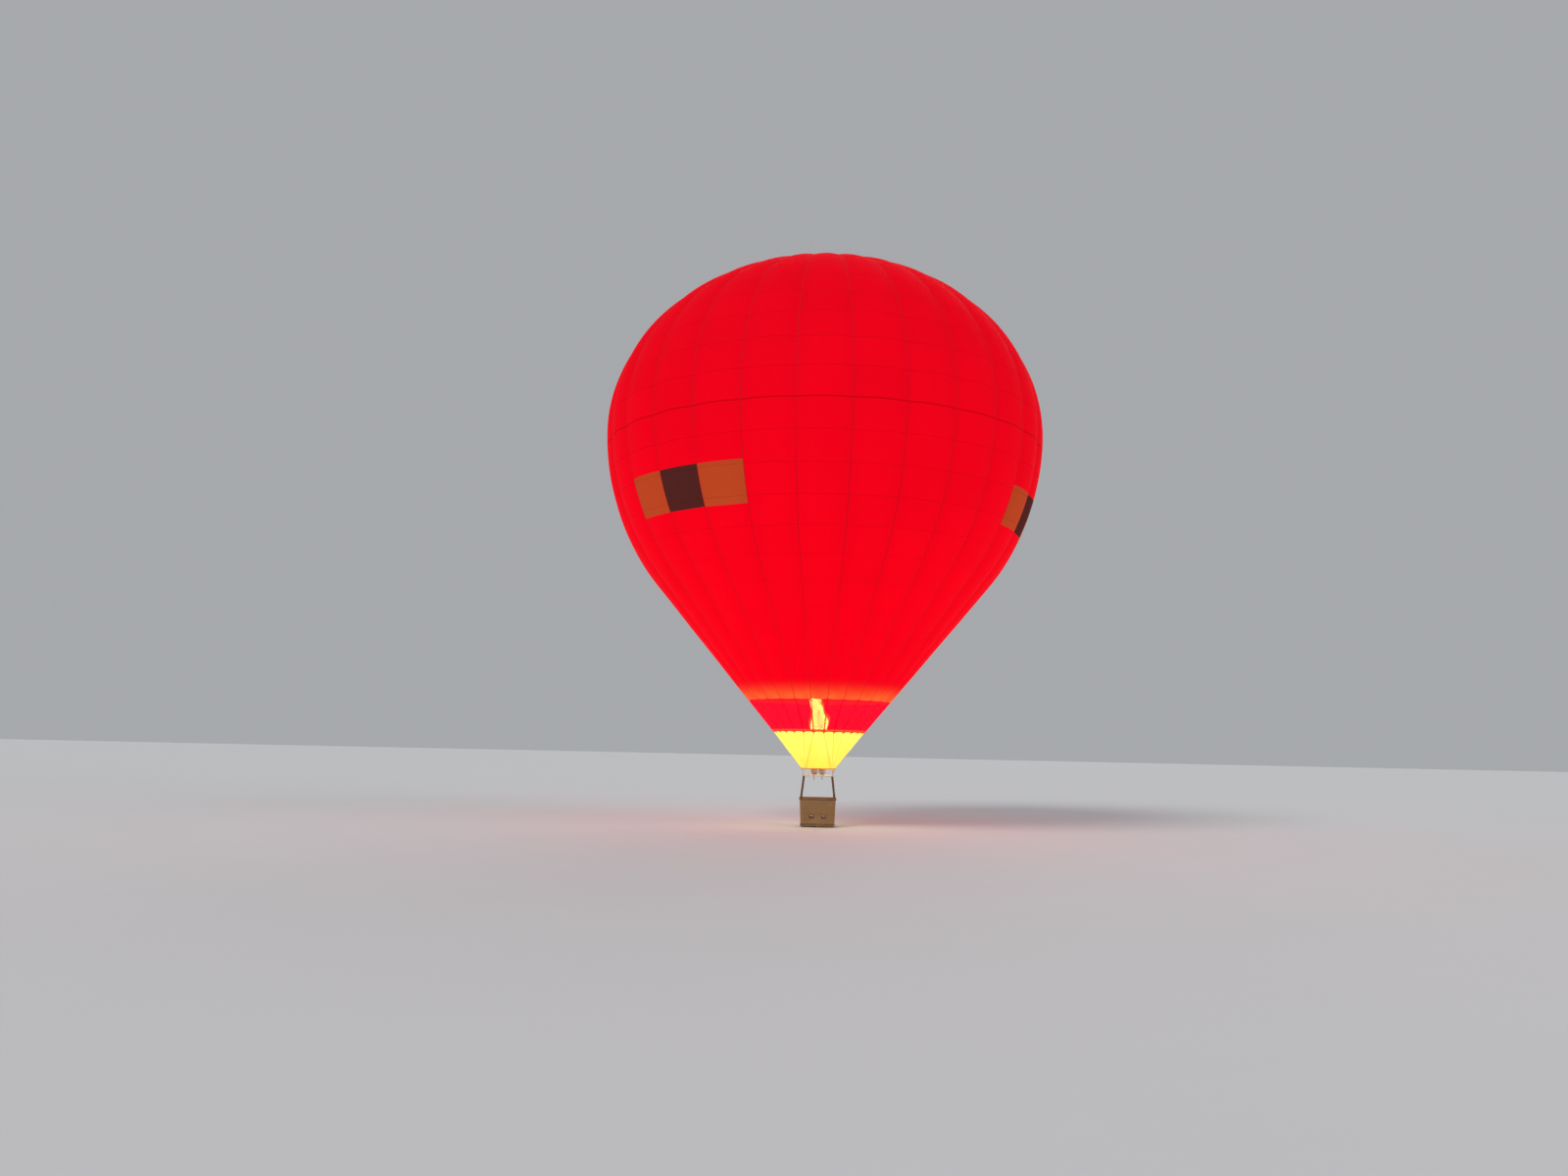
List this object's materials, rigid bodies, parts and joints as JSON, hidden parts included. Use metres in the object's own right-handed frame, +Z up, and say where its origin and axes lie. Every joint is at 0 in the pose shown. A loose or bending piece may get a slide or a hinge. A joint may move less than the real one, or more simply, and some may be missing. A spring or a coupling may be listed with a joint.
{
  "type": "hot air balloon",
  "caption": "Tethered hot-air balloon: gored red envelope with parachute valve, yellow skirt, flying wires, gimballed twin burner and wicker basket.",
  "frame": {"origin": "on the vertical axis at the level of the envelope's widest circle, the centre of lift", "axes": "+Z up along the envelope's axis, +X to the right and -Y towards the viewer, with the basket's long sides at -Y and +Y"},
  "size_m": [18.6, 18.6, 24.0425],
  "materials": {
    "envelope_red": "ripstop nylon, lit from inside",
    "panel_ochre": "ripstop nylon",
    "panel_charcoal": "ripstop nylon",
    "skirt_yellow": "heat-resistant cloth, lit from inside",
    "load_tape": "woven polyester webbing",
    "crown_alloy": "satin",
    "wire_steel": "stainless wire rope and shackles",
    "frame_steel": "welded stainless tube",
    "burner_alloy": "machined block and tray",
    "coil_steel": "heat-tinted stainless tube",
    "upright_pad": "padded sleeve",
    "rim_leather": "stitched suede over foam",
    "wicker": "woven cane",
    "floor_ply": "varnished plywood",
    "cylinder_jacket": "padded nylon jacket"
  },
  "bodies": {
    "root": {"envelope_front": "envelope_red", "envelope_right": "envelope_red", "envelope_back": "envelope_red", "envelope_left": "envelope_red", "mouth_band": "envelope_red", "panel_ochre_1": "panel_ochre", "panel_ochre_2": "panel_ochre", "panel_ochre_3": "panel_ochre", "panel_ochre_4": "panel_ochre", "panel_ochre_5": "panel_ochre", "panel_ochre_6": "panel_ochre", "panel_charcoal_1": "panel_charcoal", "panel_charcoal_2": "panel_charcoal", "panel_charcoal_3": "panel_charcoal", "crown_tapes": "load_tape", "crown_ring": "crown_alloy", "skirt": "skirt_yellow", "wires_front_right": "wire_steel", "wires_back_right": "wire_steel", "wires_back_left": "wire_steel", "wires_front_left": "wire_steel", "karabiner_front_right": "wire_steel", "karabiner_back_right": "wire_steel", "karabiner_back_left": "wire_steel", "karabiner_front_left": "wire_steel", "load_frame": "frame_steel", "basket_wall": "wicker", "basket_floor": "floor_ply", "basket_band": "rim_leather", "basket_rim": "rim_leather", "runner_left": "floor_ply", "runner_middle": "floor_ply", "runner_right": "floor_ply", "upright_front_right": "upright_pad", "upright_back_right": "upright_pad", "upright_back_left": "upright_pad", "upright_front_left": "upright_pad", "gas_cylinder_front_right": "cylinder_jacket", "gas_cylinder_back_right": "cylinder_jacket", "gas_cylinder_back_left": "cylinder_jacket", "gas_cylinder_front_left": "cylinder_jacket"},
    "valve": {"parachute_valve": "envelope_red"},
    "gimbal": {"gimbal_frame": "frame_steel"},
    "burner": {"burner_bar": "burner_alloy", "burner_base_left": "burner_alloy", "burner_base_right": "burner_alloy", "burner_coil_left": "coil_steel", "burner_coil_right": "coil_steel", "blast_valve_left": "burner_alloy", "blast_valve_right": "burner_alloy"}
  },
  "joints": [
    {"name": "valve_pull", "type": "slide", "parent": "root", "child": "valve", "axis": [0, 0, -1], "range_m": [0, 1.2]},
    {"name": "gimbal_tilt", "type": "hinge", "parent": "root", "child": "gimbal", "pos_m": [0, 0, -14.2345], "axis": [1, 0, 0], "range_deg": [-12, 12]},
    {"name": "burner_tilt", "type": "hinge", "parent": "gimbal", "child": "burner", "pos_m": [0, 0, -14.2345], "axis": [0, 1, 0], "range_deg": [-12, 12]}
  ]
}
